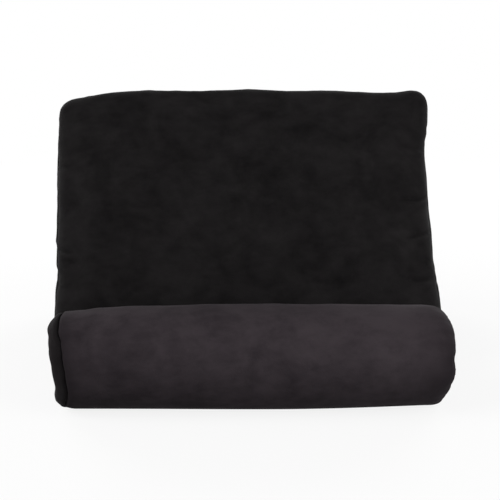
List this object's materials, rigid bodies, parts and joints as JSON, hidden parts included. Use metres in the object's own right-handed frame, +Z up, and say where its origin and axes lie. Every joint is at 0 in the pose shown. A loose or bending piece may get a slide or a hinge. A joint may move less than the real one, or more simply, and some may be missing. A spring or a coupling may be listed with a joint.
{
  "type": "tablet cushion stand",
  "caption": "Soft wedge cushion with a padded roll along its foot that holds a tablet or book on the sloping face; foam core in a zipped suede-like cover.",
  "frame": {"origin": "on the floor, below the middle of the whole stand", "axes": "+X to the right of someone facing the sloping face, +Y to the back, +Z up; the roll is at -Y"},
  "size_m": [0.3, 0.2638, 0.2041],
  "materials": {
    "wedge_cloth": "charcoal microsuede, brushed nap",
    "roll_cloth": "charcoal microsuede, brushed nap",
    "foam": "open-cell polyurethane foam",
    "zip_tape": "woven polyester tape",
    "zip_coil": "nylon coil",
    "zip_metal": "dark plated zinc"
  },
  "bodies": {
    "cushion": {"wedge_foam": "foam", "roll_foam": "foam", "front_panel": "wedge_cloth", "back_panel": "wedge_cloth", "base_panel": "wedge_cloth", "left_side_panel": "wedge_cloth", "right_side_panel": "wedge_cloth", "roll_sleeve": "roll_cloth", "roll_left_end": "roll_cloth", "roll_right_end": "roll_cloth", "roll_seam": "roll_cloth", "zip_upper_tape": "zip_tape", "zip_lower_tape": "zip_tape", "zip_upper_coil": "zip_coil", "zip_lower_coil": "zip_coil", "zip_upper_top_stop": "zip_metal", "zip_lower_top_stop": "zip_metal", "zip_bottom_stop": "zip_metal"},
    "zip_slider": {"zip_slider": "zip_metal"},
    "zip_pull": {"zip_pull_tab": "zip_metal"}
  },
  "joints": [
    {"name": "zip_slide", "type": "slide", "parent": "cushion", "child": "zip_slider", "axis": [1, 0, 0], "range_m": [0, 0.2025]},
    {"name": "zip_pull_hinge", "type": "hinge", "parent": "zip_slider", "child": "zip_pull", "pos_m": [-0.1014, 0.12814, 0.04025], "axis": [0, -0.3584, 0.9336], "range_deg": [0, 178]}
  ]
}
